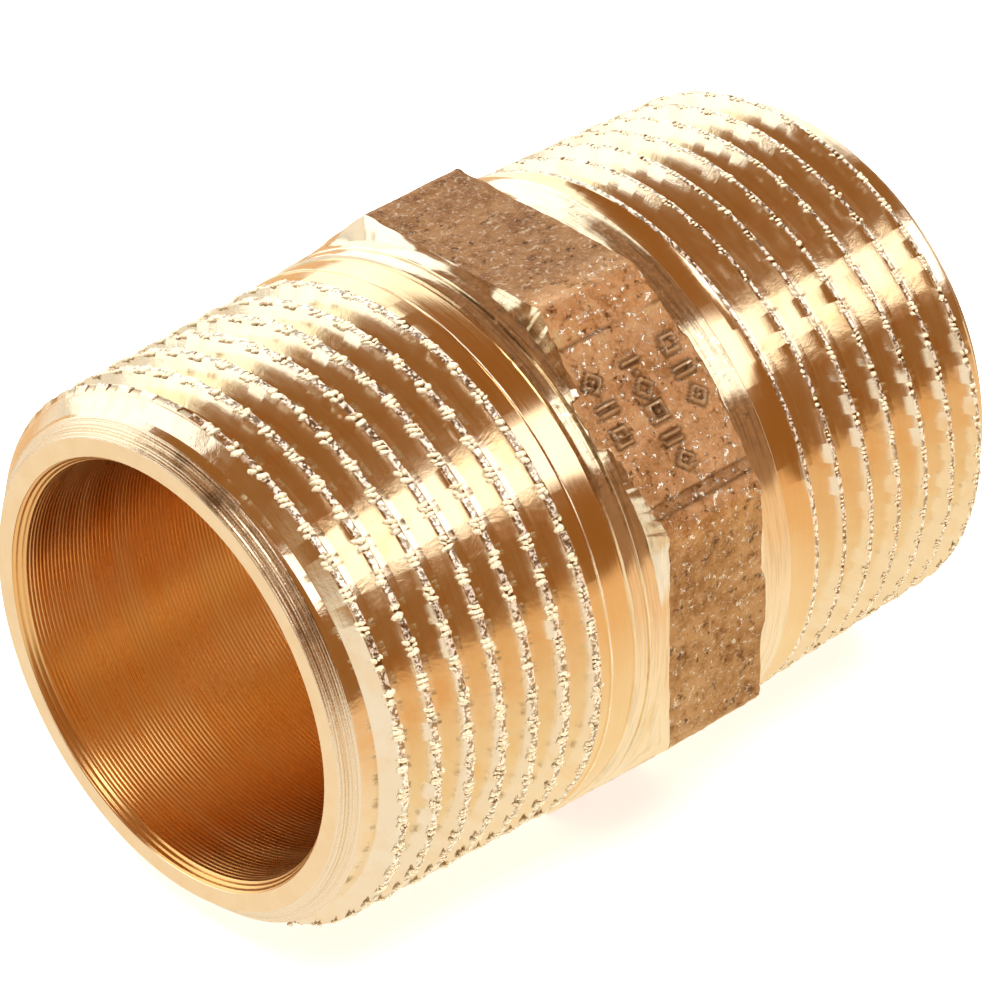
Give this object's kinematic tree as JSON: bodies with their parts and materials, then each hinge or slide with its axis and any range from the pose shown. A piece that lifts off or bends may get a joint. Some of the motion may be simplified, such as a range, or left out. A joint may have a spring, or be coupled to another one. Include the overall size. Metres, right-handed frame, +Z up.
{
  "type": "octagon pipe nipple",
  "caption": "Short straight pipe nipple with a male taper thread on each end, a through bore and a cast octagon of wrench flats between two turned collars.",
  "frame": {"origin": "middle of the overall length, on the pipe axis", "axes": "+X along the pipe axis, +Z up and square to one wrench flat, with the opposite flat facing down"},
  "size_m": [0.0396, 0.027, 0.027],
  "materials": {
    "machined_gunmetal": "bright turned and threaded gunmetal; the octagon is left as cast, matt and browner"
  },
  "bodies": {
    "root": {"nipple_body": "machined_gunmetal"}
  },
  "joints": []
}
